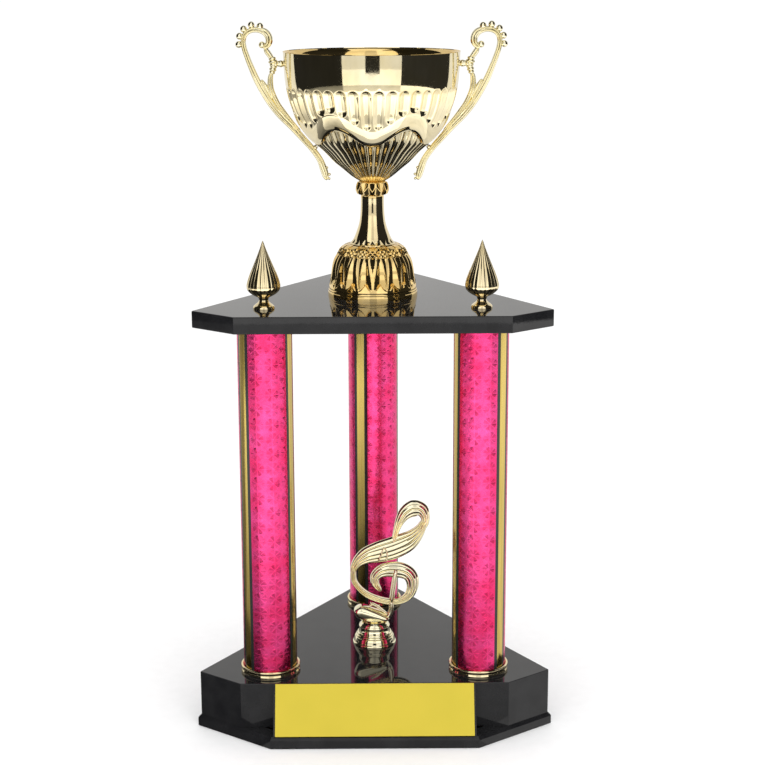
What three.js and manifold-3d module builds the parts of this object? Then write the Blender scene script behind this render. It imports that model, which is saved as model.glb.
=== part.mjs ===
// Column trophy: a weighted base, three tie-rod columns, a top plate with corner finials,
// a two-handled fluted cup on the plate and a treble-clef figure on the base.
// Millimetres, +Z up. The origin is the centre of the footprint on the ground and the front
// faces -Y. Heights are multiples of 0.25 mm, so that faces which rest on each other meet exactly.
import * as THREE from 'three';
import { mergeVertices } from 'three/addons/utils/BufferGeometryUtils.js';
import Module from 'manifold-3d';

// ---------------------------------------------------------------- driving dimensions

const COLUMN = { radius: 22.5, wall: 2.5, length: 294.5, sides: 32 };
const SPREAD = 88;                // half the distance between the two front columns
const FRONT_COLUMN_Y = -69.5;
const BACK_COLUMN_Y = 89.25;
const CUP_Y = -4;
const FIGURE_Y = -12;

const PLATE = { halfWidth: 146, frontHalf: 110.25, cornerY: -78, frontY: -106, backY: 124 };
const PLATE_THICK = 14;
const PLATE_EDGE = 0.75;          // the small chamfer round its edges

const BOX = { halfWidth: 147.25, frontHalf: 111.5, cornerY: -78, frontY: -105, backY: 124.75 };
const BOX_HEIGHT = 38.75;
const BOX_WALL = 3;
const BACK_SLANT = 58;            // degrees between a back side and the X axis

const PLINTH = { height: 9.75, shoulder: 3.25, step: 2.25, frontStep: 22, lip: 1.75, rail: 16, rebate: 6 };
const COVER = { thick: 3, recess: 0.5, gap: 0.5, screwHead: 0.25, screwTop: 7.5 };
const WEIGHT = { width: 130, depth: 60, height: 14, y: -40 };

const NAMEPLATE = { width: 164.5, height: 43, thick: 1, tape: 0.3 };
const WEDGE = { width: 168, topDepth: 0.5, footDepth: 20 };

const RING = { radius: 25, height: 5, floor: 1.25, gap: 0.3, sides: 28 };
const PLUG = { height: 8, gap: 0.3 };

const M6 = { radius: 3, clear: 3.3, flats: 10, nut: 5, washerRadius: 9, washer: 1.5 };
const M4 = { radius: 2, clear: 2.3, flats: 7, nut: 3.25, washerRadius: 6, washer: 1 };
const SCREW = { radius: 1.5, clear: 1.8, headRadius: 3, head: 1.75 };
const NUT_GRIP = 4;               // the rod that shows past a nut
const FINIAL_THREAD = 14;         // the rod inside a finial
const HOLE_END = 1;               // how far a drilling tool passes a face

const CUP_WALL = 1.5;
const CUP_SIDES = 40;
const HANDLE = { radius: 3.1, boss: 2.8, bead: 2.9, thread: 7, bore: 7.3 };
const FIGURE_THICK = 8;
const FIGURE_STUD_TOP = 26;

const BASE_TOP = PLINTH.height + BOX_HEIGHT;
const PLATE_BOTTOM = BASE_TOP + RING.floor + COLUMN.length;
const PLATE_TOP = PLATE_BOTTOM + PLATE_THICK;

const COLUMNS = [
  { side: 'left', x: -SPREAD, y: FRONT_COLUMN_Y },
  { side: 'right', x: SPREAD, y: FRONT_COLUMN_Y },
  { side: 'back', x: 0, y: BACK_COLUMN_Y },
];

// ---------------------------------------------------------------- materials

function material(color, roughness, metalness) {
  return new THREE.MeshStandardMaterial({ color, roughness, metalness });
}

const champagneGold = material(0xdcc08a, 0.12, 1);
const deepGold = material(0xd8a83c, 0.14, 1);
const blackGloss = material(0x0c0c0d, 0.08, 0);
const pinkFoil = material(0xff3382, 0.25, 0.6);
const yellowPlate = material(0xe1cd4b, 0.3, 0.8);
const steel = material(0xa9acb0, 0.35, 1);
const fibreboard = material(0x8d6e4b, 0.85, 0);
const ironWeight = material(0x4b4b4d, 0.7, 0.6);
const whitePlastic = material(0xd9d8d2, 0.5, 0);

// ---------------------------------------------------------------- solids: join and cut

const wasm = await Module();
wasm.setup();

function toSolid(geometry) {
  const bare = geometry.clone();
  bare.deleteAttribute('normal');
  bare.deleteAttribute('uv');
  const merged = mergeVertices(bare, 1e-4);
  return new wasm.Manifold(new wasm.Mesh({
    numProp: 3,
    vertProperties: new Float32Array(merged.attributes.position.array),
    triVerts: new Uint32Array(merged.index.array),
  }));
}

function toGeometry(solid) {
  const mesh = solid.getMesh();
  const geometry = new THREE.BufferGeometry();
  geometry.setAttribute('position', new THREE.BufferAttribute(new Float32Array(mesh.vertProperties), 3));
  geometry.setIndex(new THREE.BufferAttribute(new Uint32Array(mesh.triVerts), 1));
  geometry.computeVertexNormals();
  return geometry;
}

function join(...geometries) {
  return toGeometry(geometries.map(toSolid).reduce((all, next) => all.add(next)));
}

function cut(geometry, ...tools) {
  return toGeometry(tools.map(toSolid).reduce((left, tool) => left.subtract(tool), toSolid(geometry)));
}

// ---------------------------------------------------------------- shape helpers

// A solid of revolution about Z from [radius, z] points, closed at the axis or on itself.
function turned(profile, sides) {
  const points = profile.map(([r, z]) => new THREE.Vector2(r, z));
  return new THREE.LatheGeometry(points, sides).rotateX(Math.PI / 2);
}

// The profile of a bored piece: its outside from the bottom up, then back down the bore.
function bored(outside, bore) {
  const [bottom] = outside;
  const top = outside.at(-1);
  return [[bore, bottom[1]], ...outside, [bore, top[1]], [bore, bottom[1]]];
}

// A rod along Z from z0 to z1.
function rod(radius, z0, z1, sides = 12) {
  return new THREE.CylinderGeometry(radius, radius, z1 - z0, sides)
    .rotateX(Math.PI / 2)
    .translate(0, 0, (z0 + z1) / 2);
}

// A straight prism of an outline, from z0 to z1.
function prism(outline, z0, z1, holes = []) {
  const shape = new THREE.Shape(outline);
  for (const hole of holes) shape.holes.push(hole);
  const options = { depth: z1 - z0, bevelEnabled: false, curveSegments: 6 };
  return new THREE.ExtrudeGeometry(shape, options).translate(0, 0, z0);
}

function circleHole(x, y, radius) {
  return new THREE.Path().absarc(x, y, radius, 0, 2 * Math.PI, true);
}

function hexOutline(flats) {
  const corner = flats / Math.sqrt(3);
  return Array.from({ length: 6 }, (_, i) => {
    const angle = i * Math.PI / 3;
    return new THREE.Vector2(corner * Math.cos(angle), corner * Math.sin(angle));
  });
}

function hexNut(size) {
  return prism(hexOutline(size.flats), 0, size.nut, [circleHole(0, 0, size.clear)]);
}

function washer(size) {
  const outside = [[size.washerRadius, 0], [size.washerRadius, size.washer]];
  return turned(bored(outside, size.clear), 12);
}

// A triangle with its corners cut off, wide side to the front: half a turn round from the front left.
function cutTriangle({ halfWidth, frontHalf, cornerY, frontY, backY }) {
  const slope = Math.tan(BACK_SLANT * Math.PI / 180);
  const backHalf = halfWidth - (backY - cornerY) / slope;
  return [
    [-frontHalf, frontY], [frontHalf, frontY], [halfWidth, cornerY],
    [backHalf, backY], [-backHalf, backY], [-halfWidth, cornerY],
  ].map(([x, y]) => new THREE.Vector2(x, y));
}

// Moves each side of a convex outline outwards; the first side, the front, may have its own step.
function grown(outline, step, frontStep = step) {
  const count = outline.length;
  const sides = outline.map((start, i) => {
    const end = outline[(i + 1) % count];
    const along = end.clone().sub(start).normalize();
    const out = new THREE.Vector2(along.y, -along.x);
    return { start: start.clone().addScaledVector(out, i === 0 ? frontStep : step), along };
  });
  return sides.map((side, i) => {
    const last = sides[(i + count - 1) % count];
    const gap = side.start.clone().sub(last.start);
    const travel = gap.cross(side.along) / last.along.cross(side.along);
    return last.start.clone().addScaledVector(last.along, travel);
  });
}

// A closed loft through convex outlines of equal length, given as { outline, z } from the bottom up.
function lofted(levels) {
  const count = levels[0].outline.length;
  const positions = levels.flatMap(({ outline, z }) => outline.flatMap((p) => [p.x, p.y, z]));
  const index = [];
  for (let level = 0; level + 1 < levels.length; level += 1) {
    for (let i = 0; i < count; i += 1) {
      const a = level * count + i;
      const b = level * count + (i + 1) % count;
      index.push(a, b, b + count, a, b + count, a + count);
    }
  }
  const top = (levels.length - 1) * count;
  for (let i = 1; i + 1 < count; i += 1) {
    index.push(0, i + 1, i);
    index.push(top, top + i, top + i + 1);
  }
  const geometry = new THREE.BufferGeometry();
  geometry.setAttribute('position', new THREE.Float32BufferAttribute(positions, 3));
  geometry.setIndex(index);
  geometry.computeVertexNormals();
  return geometry;
}

// A round bar along a curve in the XZ plane through [x, z] points.
function bentBar(points, radius, steps, sides = 8) {
  const path = new THREE.CatmullRomCurve3(points.map(([x, z]) => new THREE.Vector3(x, 0, z)));
  const section = new THREE.Shape().absarc(0, 0, radius, 0, 2 * Math.PI, false);
  return new THREE.ExtrudeGeometry(section, { steps, extrudePath: path, curveSegments: sides });
}

// A straight round bar between two points.
function bar(from, to, radius, sides = 10) {
  const along = to.clone().sub(from);
  const up = new THREE.Vector3(0, 1, 0);
  const turn = new THREE.Quaternion().setFromUnitVectors(up, along.clone().normalize());
  return new THREE.CylinderGeometry(radius, radius, along.length(), sides)
    .applyQuaternion(turn)
    .translate(...from.clone().add(to).multiplyScalar(0.5).toArray());
}

// A flat ribbon in the XZ plane, through [x, z, width] points, centred on y = 0.
function ribbon(points, thick, samples) {
  const curve = new THREE.CatmullRomCurve3(points.map((p) => new THREE.Vector3(...p)));
  const line = curve.getPoints(samples);
  const left = [];
  const right = [];
  line.forEach((p, i) => {
    const before = line[Math.max(i - 1, 0)];
    const after = line[Math.min(i + 1, line.length - 1)];
    const along = new THREE.Vector2(after.x - before.x, after.y - before.y).normalize();
    left.push(new THREE.Vector2(p.x - along.y * p.z / 2, p.y + along.x * p.z / 2));
    right.push(new THREE.Vector2(p.x + along.y * p.z / 2, p.y - along.x * p.z / 2));
  });
  return upright([...left, ...right.reverse()], thick);
}

// An outline drawn in X and Z, made into a plate of the given thickness centred on y = 0.
function upright(outline, thick) {
  return prism(outline, -thick / 2, thick / 2).rotateX(Math.PI / 2);
}

function vectors(points) {
  return points.map(([x, y]) => new THREE.Vector2(x, y));
}

// ---------------------------------------------------------------- scene graph

const trophy = new THREE.Group();

function addGroup(x, y, z, parent = trophy) {
  const group = new THREE.Group();
  group.position.set(x, y, z);
  parent.add(group);
  return group;
}

function add(parent, name, geometry, look, position = [0, 0, 0]) {
  const mesh = new THREE.Mesh(geometry, look);
  mesh.name = name;
  mesh.position.set(...position);
  parent.add(mesh);
  return mesh;
}

// ---------------------------------------------------------------- base

const boxOutline = cutTriangle(BOX);
const plinthOutline = grown(boxOutline, PLINTH.step, PLINTH.frontStep);

function makePlinth() {
  const lipOutline = grown(plinthOutline, -PLINTH.lip);
  const shell = lofted([
    { outline: plinthOutline, z: 0 },
    { outline: plinthOutline, z: PLINTH.height - PLINTH.shoulder },
    { outline: grown(plinthOutline, -0.5), z: PLINTH.height - 1.75 },
    { outline: grown(plinthOutline, -PLINTH.lip + 0.5), z: PLINTH.height - 0.75 },
    { outline: lipOutline, z: PLINTH.height },
  ]);
  const rails = grown(boxOutline, -PLINTH.rail);
  const rebate = grown(boxOutline, -PLINTH.rebate);
  const coverTop = COVER.recess + COVER.thick + COVER.gap;
  const screwHoles = coverScrewPlaces().map(([x, y]) => (
    rod(SCREW.clear, -HOLE_END, COVER.screwTop + 0.5, 10).translate(x, y, 0)
  ));
  const opening = prism(rails, -HOLE_END, PLINTH.height + HOLE_END);
  return cut(shell, opening, prism(rebate, -HOLE_END, coverTop), ...screwHoles);
}

function coverScrewPlaces() {
  const middle = (PLINTH.rail + PLINTH.rebate) / 2;
  const [frontLeft, frontRight, , backRight, backLeft] = grown(boxOutline, -middle);
  return [frontLeft, frontRight, backRight, backLeft].map((p) => [p.x, p.y]);
}

function makeBottomCover() {
  const outline = grown(boxOutline, -PLINTH.rebate - COVER.gap);
  const holes = coverScrewPlaces().map(([x, y]) => circleHole(x, y, SCREW.clear));
  return prism(outline, COVER.recess, COVER.recess + COVER.thick, holes);
}

// A cover screw, head down, with its thread in the plinth rail.
function makeCoverScrew() {
  const bottom = COVER.recess - COVER.screwHead;
  const head = rod(SCREW.headRadius, bottom, COVER.recess, 12);
  return join(head, rod(SCREW.radius, bottom, COVER.screwTop, 10));
}

function makeBox() {
  const body = prism(boxOutline, PLINTH.height, BASE_TOP);
  const inside = prism(grown(boxOutline, -BOX_WALL), PLINTH.height - HOLE_END, BASE_TOP - BOX_WALL);
  const low = BASE_TOP - BOX_WALL - HOLE_END;
  const high = BASE_TOP + HOLE_END;
  const rodHoles = COLUMNS.map(({ x, y }) => rod(M6.clear, low, high).translate(x, y, 0));
  const figureHole = rod(M4.clear, low, high).translate(0, FIGURE_Y, 0);
  return cut(body, inside, ...rodHoles, figureHole);
}

// The sloping block in front of the box, which holds the nameplate.
function makeWedge() {
  const section = vectors([
    [0, PLINTH.height], [WEDGE.footDepth, PLINTH.height], [WEDGE.topDepth, BASE_TOP], [0, BASE_TOP],
  ]);
  const forwards = new THREE.Vector3(0, -1, 0);
  const up = new THREE.Vector3(0, 0, 1);
  const across = new THREE.Vector3(-1, 0, 0);
  return prism(section, -WEDGE.width / 2, WEDGE.width / 2)
    .applyMatrix4(new THREE.Matrix4().makeBasis(forwards, up, across))
    .translate(0, BOX.frontY, 0);
}

const base = addGroup(0, 0, 0);
add(base, 'base_plinth', makePlinth(), blackGloss);
add(base, 'base_box', makeBox(), blackGloss);
add(base, 'base_bottom_cover', makeBottomCover(), fibreboard);
coverScrewPlaces().forEach(([x, y], i) => {
  add(base, `cover_screw_${i + 1}`, makeCoverScrew(), steel, [x, y, 0]);
});
const weightBottom = COVER.recess + COVER.thick;
add(base, 'base_weight', new THREE.BoxGeometry(WEIGHT.width, WEIGHT.depth, WEIGHT.height), ironWeight,
  [0, WEIGHT.y, weightBottom + WEIGHT.height / 2]);

add(base, 'nameplate_wedge', makeWedge(), blackGloss);

// The nameplate lies on a 0.3 mm layer of tape on the wedge's sloping face.
const slopeRun = WEDGE.footDepth - WEDGE.topDepth;
const slopeAngle = Math.atan2(BOX_HEIGHT, slopeRun);
const slopeY = BOX.frontY - (WEDGE.footDepth + WEDGE.topDepth) / 2;
const slopeGroup = addGroup(0, slopeY, PLINTH.height + BOX_HEIGHT / 2, base);
slopeGroup.rotation.x = slopeAngle;
add(slopeGroup, 'nameplate', new THREE.BoxGeometry(NAMEPLATE.width, NAMEPLATE.height, NAMEPLATE.thick),
  yellowPlate, [0, 0, NAMEPLATE.tape + NAMEPLATE.thick / 2]);

// ---------------------------------------------------------------- columns, rods and finials

function makeColumn() {
  const outside = [[COLUMN.radius, 0], [COLUMN.radius, COLUMN.length]];
  return turned(bored(outside, COLUMN.radius - COLUMN.wall), COLUMN.sides);
}

// The gold collar under a column: a shallow cup with a rounded lip and a waisted foot.
function makeRing() {
  const inner = COLUMN.radius + RING.gap;
  return turned([
    [M6.clear, 0], [RING.radius - 0.25, 0], [RING.radius - 0.75, 1.5], [RING.radius, 3.25],
    [RING.radius - 0.25, 4.5], [inner + 0.75, RING.height], [inner, RING.height - 0.5],
    [inner, RING.floor], [M6.clear, RING.floor], [M6.clear, 0],
  ], RING.sides);
}

// The plug in the top of a column, which centres its rod.
function makePlug() {
  const radius = COLUMN.radius - COLUMN.wall - PLUG.gap;
  return turned(bored([[radius, 0], [radius, PLUG.height]], M6.clear), 16);
}

// A fluted drop on a flared foot, bored from below for the end of the rod.
function makeFinial() {
  const depth = FINIAL_THREAD + M6.clear;
  return turned([
    [0, depth], [M6.clear, depth - 1.5], [M6.clear, 0], [8.75, 0], [8.5, 2], [6.75, 3.75], [3.75, 6.5],
    [4.5, 9], [7, 11], [11.5, 13.5], [13.75, 17.5], [13.5, 20.75], [11, 27.5], [6.75, 38], [2.5, 48.5],
    [0, 55.5],
  ], 16);
}

const rodBottom = BASE_TOP - BOX_WALL - M6.washer - M6.nut - NUT_GRIP;
for (const { side, x, y } of COLUMNS) {
  const group = addGroup(x, y, 0);
  add(group, `column_ring_${side}`, makeRing(), champagneGold, [0, 0, BASE_TOP]);
  add(group, `column_${side}`, makeColumn(), pinkFoil, [0, 0, BASE_TOP + RING.floor]);
  add(group, `column_plug_${side}`, makePlug(), whitePlastic, [0, 0, PLATE_BOTTOM - PLUG.height]);
  add(group, `tie_rod_${side}`, rod(M6.radius, rodBottom, PLATE_TOP + FINIAL_THREAD), steel);
  add(group, `rod_washer_${side}`, washer(M6), steel, [0, 0, BASE_TOP - BOX_WALL - M6.washer]);
  add(group, `rod_nut_${side}`, hexNut(M6), steel, [0, 0, BASE_TOP - BOX_WALL - M6.washer - M6.nut]);
  add(group, `finial_${side}`, makeFinial(), champagneGold, [0, 0, PLATE_TOP]);
}

// ---------------------------------------------------------------- top plate

function makePlate() {
  const outline = cutTriangle(PLATE);
  const slab = lofted([
    { outline: grown(outline, -PLATE_EDGE), z: PLATE_BOTTOM },
    { outline, z: PLATE_BOTTOM + PLATE_EDGE },
    { outline, z: PLATE_TOP - PLATE_EDGE },
    { outline: grown(outline, -PLATE_EDGE), z: PLATE_TOP },
  ]);
  const holes = [...COLUMNS, { x: 0, y: CUP_Y }].map(({ x, y }) => (
    rod(M6.clear, PLATE_BOTTOM - HOLE_END, PLATE_TOP + HOLE_END).translate(x, y, 0)
  ));
  return cut(slab, ...holes);
}

add(trophy, 'top_plate', makePlate(), blackGloss);

// ---------------------------------------------------------------- cup

// Outsides as [radius, height above the plate].
const FOOT = [
  [37.75, 0], [37.5, 3], [36.5, 8], [35, 17], [33.5, 26.5], [29, 35], [25, 40.75], [19.75, 42.5],
];
const STEM = [
  [19.25, 42.5], [18.75, 43.25], [16.25, 46.25], [13.25, 53], [11, 60], [10, 67], [9.75, 75],
  [9.75, 81.25],
];
const COLLAR = [[9.75, 81.25], [9.75, 83], [12.5, 87], [13.25, 90], [12.75, 93], [10.75, 95]];
const BOWL = [
  [10.75, 95], [17.25, 99], [24.75, 105], [32, 110.75], [40.75, 119.5], [51.25, 128.75], [56.25, 137.25],
  [61.25, 146.25], [65.25, 153.75], [68.5, 163.25], [71, 175], [72.25, 189], [72.75, 201.25],
];

// An outside moved inwards by the wall, from its last point to its first.
function insideOf(outside, wall) {
  return outside.map(([r, z], i) => {
    const [r0, z0] = outside[Math.max(i - 1, 0)];
    const [r1, z1] = outside[Math.min(i + 1, outside.length - 1)];
    const length = Math.hypot(r1 - r0, z1 - z0);
    return [r - wall * (z1 - z0) / length, z + wall * (r1 - r0) / length];
  }).reverse();
}

function makeFoot() {
  const inside = insideOf(FOOT, CUP_WALL).slice(1, -1).filter(([, z]) => z > 1);
  const ceiling = FOOT.at(-1)[1] - 2 * CUP_WALL;
  return turned([
    ...FOOT, [M6.clear, FOOT.at(-1)[1]], [M6.clear, ceiling], ...inside, [FOOT[0][0] - CUP_WALL, 0],
    FOOT[0],
  ], CUP_SIDES);
}

function makeBowl() {
  const rimInside = BOWL.at(-1)[0] - CUP_WALL;
  const inside = insideOf(BOWL, CUP_WALL).slice(1, -1);
  const floor = BOWL[0][1] + 2 * CUP_WALL;
  const profile = [
    [M6.clear, BOWL[0][1]], ...BOWL, [rimInside, BOWL.at(-1)[1]], ...inside, [BOWL[0][0], floor],
    [M6.clear, floor], [M6.clear, BOWL[0][1]],
  ];
  const holes = [1, -1].flatMap((side) => HANDLE_SCREWS.map(({ head, end }) => {
    const along = screwAxis(head, end, side);
    return bar(along.at(-4), along.at(4), SCREW.clear);
  }));
  return cut(turned(profile, CUP_SIDES), ...holes);
}

// The screws of one handle, from inside the bowl: where the head bears, and a point further out.
const HANDLE_SCREWS = [
  { name: 'upper', head: [70.2, 191], end: [79.5, 191], boss: [72.7, 191] },
  { name: 'lower', head: [44.95, 125.15], end: [50.15, 119.45], boss: [46.45, 123.5] },
];

function screwAxis(head, end, side) {
  const from = new THREE.Vector3(side * head[0], 0, head[1]);
  const out = new THREE.Vector3(side * (end[0] - head[0]), 0, end[1] - head[1]).normalize();
  return { out, at: (distance) => from.clone().addScaledVector(out, distance) };
}

// One handle, in the XZ plane through the cup's axis, as [distance from the axis, height].
const HANDLE_OUTER = [
  [38.25, 96.5], [39.75, 104.25], [43.25, 113], [49.5, 121.5], [57.75, 131], [66.25, 140.25], [75, 149.25],
  [82.5, 158.25], [88.75, 168.25], [94.25, 178], [98.5, 188], [102, 196.75], [104, 203.75],
  [104.75, 209.25], [103.75, 213.75], [100.75, 217.25], [96, 218.75], [90.5, 218.25], [86, 215.75],
  [83.75, 211.5], [84.5, 207.25], [88, 203.5], [85.75, 200.75], [83, 196.75], [80.75, 192.75],
];
const HANDLE_INNER = [
  [80.75, 193], [81.25, 185.5], [83.25, 180.5], [83.25, 172], [81, 165], [77, 157.5], [71.75, 150.5],
  [65, 141.75],
];
const HANDLE_BEADS = [[108.5, 206.75], [107.75, 213.5], [104.5, 219.25], [98, 222.5], [91, 221.5]];

function makeHandle(side) {
  const mirrored = (points) => points.map(([x, z]) => [side * x, z]);
  const bosses = HANDLE_SCREWS.map(({ head, end, boss }) => {
    const { at } = screwAxis(head, end, side);
    const start = Math.hypot(boss[0] - head[0], boss[1] - head[1]);
    const stop = Math.hypot(end[0] - head[0], end[1] - head[1]);
    return bar(at(start), at(stop), HANDLE.boss);
  });
  const bores = HANDLE_SCREWS.map(({ head, end }) => {
    const { at } = screwAxis(head, end, side);
    return bar(at(0), at(HANDLE.bore), SCREW.clear);
  });
  const strands = [
    bentBar(mirrored(HANDLE_OUTER), HANDLE.radius, 46, 3),
    bentBar(mirrored(HANDLE_INNER), HANDLE.radius, 14, 3),
  ];
  const beads = mirrored(HANDLE_BEADS).map(([x, z]) => (
    new THREE.SphereGeometry(HANDLE.bead, 8, 6).rotateX(Math.PI / 2).translate(x, 0, z)
  ));
  return cut(join(...strands, ...bosses, ...beads), ...bores);
}

// A pan-head screw that holds a handle from inside the bowl.
function makeHandleScrew({ head, end }, side) {
  const { at } = screwAxis(head, end, side);
  const panHead = bar(at(-SCREW.head - 0.3), at(-0.3), SCREW.headRadius);
  return join(panHead, bar(at(-0.8), at(HANDLE.thread), SCREW.radius, 8));
}

// A hexagon nut with a domed, closed top.
function makeCapNut() {
  const dome = new THREE.SphereGeometry(M6.flats / 2 - 0.25, 16, 8).translate(0, 0, M6.nut);
  const hexagon = prism(hexOutline(M6.flats), 0, M6.nut);
  return cut(join(hexagon, dome), rod(M6.clear, -1, M6.nut + 2));
}

const cup = addGroup(0, CUP_Y, PLATE_TOP);
const bowlFloor = BOWL[0][1] + 2 * CUP_WALL;
add(cup, 'cup_foot', makeFoot(), deepGold);
add(cup, 'cup_stem', turned(bored(STEM, M6.clear), 24), champagneGold);
add(cup, 'cup_collar', turned(bored(COLLAR, M6.clear), 20), champagneGold);
add(cup, 'cup_bowl', makeBowl(), champagneGold);
for (const [side, name] of [[-1, 'left'], [1, 'right']]) {
  add(cup, `cup_handle_${name}`, makeHandle(side), champagneGold);
  for (const screw of HANDLE_SCREWS) {
    add(cup, `handle_screw_${screw.name}_${name}`, makeHandleScrew(screw, side), steel);
  }
}
const cupStudBottom = -PLATE_THICK - M6.washer - M6.nut - NUT_GRIP;
add(cup, 'cup_stud', rod(M6.radius, cupStudBottom, bowlFloor + M6.washer + M6.nut), steel);
add(cup, 'cup_cap_washer', washer(M6), steel, [0, 0, bowlFloor]);
add(cup, 'cup_cap_nut', makeCapNut(), steel, [0, 0, bowlFloor + M6.washer]);
add(cup, 'cup_washer', washer(M6), steel, [0, 0, -PLATE_THICK - M6.washer]);
add(cup, 'cup_nut', hexNut(M6), steel, [0, 0, -PLATE_THICK - M6.washer - M6.nut]);

// ---------------------------------------------------------------- treble-clef figure

const PEDESTAL = [
  [19, 0], [19, 2], [17.25, 5.5], [16.5, 8], [15, 10], [13.5, 15], [13.25, 16.5], [11, 18.75],
];

// The clef is one ribbon, drawn as three stretches of [x, z, width], with a bar and a drop at its foot.
const CLEF_LOOP = [
  [17, 88.5, 4], [18.5, 94.5, 4], [20, 101, 4.5], [23, 110.25, 8], [28, 117.25, 12.5], [35, 121, 15.5],
  [41.75, 119, 12], [44, 112.75, 7], [42.25, 105.5, 6],
];
const CLEF_BAND = [
  [43.75, 111.75, 5], [39.25, 102.5, 9], [29.5, 92, 17.5], [16, 85.75, 20], [3, 82.25, 18.5],
  [-6.5, 79.25, 15], [-13.75, 74.25, 10], [-18, 67, 5],
];
const CLEF_BOWL = [
  [-18, 68, 5], [-18, 57.75, 5], [-14.25, 50.75, 5], [-7, 44, 5], [1.5, 39.75, 5], [11, 37, 5],
  [19.25, 36.5, 5], [26.25, 38.75, 7], [31.25, 43, 8.5], [33.5, 50, 10], [33.75, 56.5, 12],
  [31.25, 62.75, 13], [25.75, 65.5, 14], [19, 66.5, 15], [11, 66.5, 13], [4.5, 64.5, 10.5],
  [0.5, 59.75, 9], [0.5, 55.25, 7], [3, 50.5, 5], [6, 47, 2],
];
const CLEF_DROP = [
  [-18.5, 31.25], [-17.25, 34.5], [-13.25, 35.75], [-6.5, 36], [-0.25, 33], [9.5, 24.25], [12.5, 24.75],
  [13.5, 38.75], [17.5, 38.75], [17.25, 24.75], [13.5, 20.25], [10, 19], [-4, 19], [-7, 20.75],
  [-15.25, 25.5],
];

function makeClef() {
  const stem = vectors([[15, 37], [18.5, 37], [20.5, 94.5], [16.5, 94.5]]);
  const whole = join(
    ribbon(CLEF_LOOP, FIGURE_THICK, 28),
    ribbon(CLEF_BAND, FIGURE_THICK, 20),
    ribbon(CLEF_BOWL, FIGURE_THICK, 48),
    upright(stem, FIGURE_THICK),
    upright(vectors(CLEF_DROP), FIGURE_THICK),
  );
  const pedestalTop = PEDESTAL.at(-1)[1];
  return cut(whole, rod(M4.clear, pedestalTop - HOLE_END, FIGURE_STUD_TOP + 1, 12));
}

const figure = addGroup(0, FIGURE_Y, BASE_TOP);
add(figure, 'figure_pedestal', turned(bored(PEDESTAL, M4.clear), 28), champagneGold);
add(figure, 'figure_clef', makeClef(), champagneGold);
const figureStudBottom = -BOX_WALL - M4.washer - M4.nut - NUT_GRIP;
add(figure, 'figure_stud', rod(M4.radius, figureStudBottom, FIGURE_STUD_TOP, 12), steel);
add(figure, 'figure_washer', washer(M4), steel, [0, 0, -BOX_WALL - M4.washer]);
add(figure, 'figure_nut', hexNut(M4), steel, [0, 0, -BOX_WALL - M4.washer - M4.nut]);

export default trophy;
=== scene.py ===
"""The looks of a column trophy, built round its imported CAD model.

Everything is in metres in the model's own frame. Shapes are drawn in millimetres from a datum that
the frame gives, such as the top plate's upper face, and are scaled where they are placed.
"""

import math

import bmesh
import bpy
import numpy as np
from mathutils import Matrix, Vector


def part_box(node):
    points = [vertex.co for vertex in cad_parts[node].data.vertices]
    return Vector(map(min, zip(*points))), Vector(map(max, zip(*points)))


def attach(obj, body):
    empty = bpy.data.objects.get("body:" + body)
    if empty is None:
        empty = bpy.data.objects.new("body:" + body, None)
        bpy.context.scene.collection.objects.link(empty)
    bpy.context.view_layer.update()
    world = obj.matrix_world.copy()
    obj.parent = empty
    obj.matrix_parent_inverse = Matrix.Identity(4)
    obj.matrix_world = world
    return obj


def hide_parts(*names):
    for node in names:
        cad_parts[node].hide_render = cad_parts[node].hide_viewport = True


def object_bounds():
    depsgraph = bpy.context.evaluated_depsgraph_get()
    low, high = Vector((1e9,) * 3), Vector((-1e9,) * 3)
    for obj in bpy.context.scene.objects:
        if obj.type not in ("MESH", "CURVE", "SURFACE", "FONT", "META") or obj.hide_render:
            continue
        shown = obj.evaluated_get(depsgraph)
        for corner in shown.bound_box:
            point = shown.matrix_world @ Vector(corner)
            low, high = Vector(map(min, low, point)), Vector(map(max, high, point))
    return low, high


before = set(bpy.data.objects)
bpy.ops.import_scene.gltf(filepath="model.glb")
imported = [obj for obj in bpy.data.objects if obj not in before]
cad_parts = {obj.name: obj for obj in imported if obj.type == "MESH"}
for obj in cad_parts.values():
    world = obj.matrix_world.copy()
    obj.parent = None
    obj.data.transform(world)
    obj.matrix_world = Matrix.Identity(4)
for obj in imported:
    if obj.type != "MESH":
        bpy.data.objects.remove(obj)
CAD_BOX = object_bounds()

MM = 0.001
BASE_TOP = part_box("base_box")[1].z
PLATE_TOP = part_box("top_plate")[1].z
SIDES = ("left", "right", "back")


def axis_of(node, height=None):
    """The foot of a node's upright axis, or that axis at a given height."""
    low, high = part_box(node)
    return Vector(((low.x + high.x) / 2, (low.y + high.y) / 2, low.z if height is None else height))


# ---------------------------------------------------------------- camera, floor and light

CAMERA_PLACE = (-0.0006, -1.4414, 0.6230)
CAMERA_HEADING = 0.341       # degrees from +Y towards +X
CAMERA_PITCH = 13.394        # degrees down
CAMERA_ROLL = -0.197
CAMERA_LENS = 81.315         # millimetres, on a sensor 36 mm wide

STUDIO_RADIUS = 1.9          # the walls and floor that only reflections see
STUDIO_HEIGHT = 3.0
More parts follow.
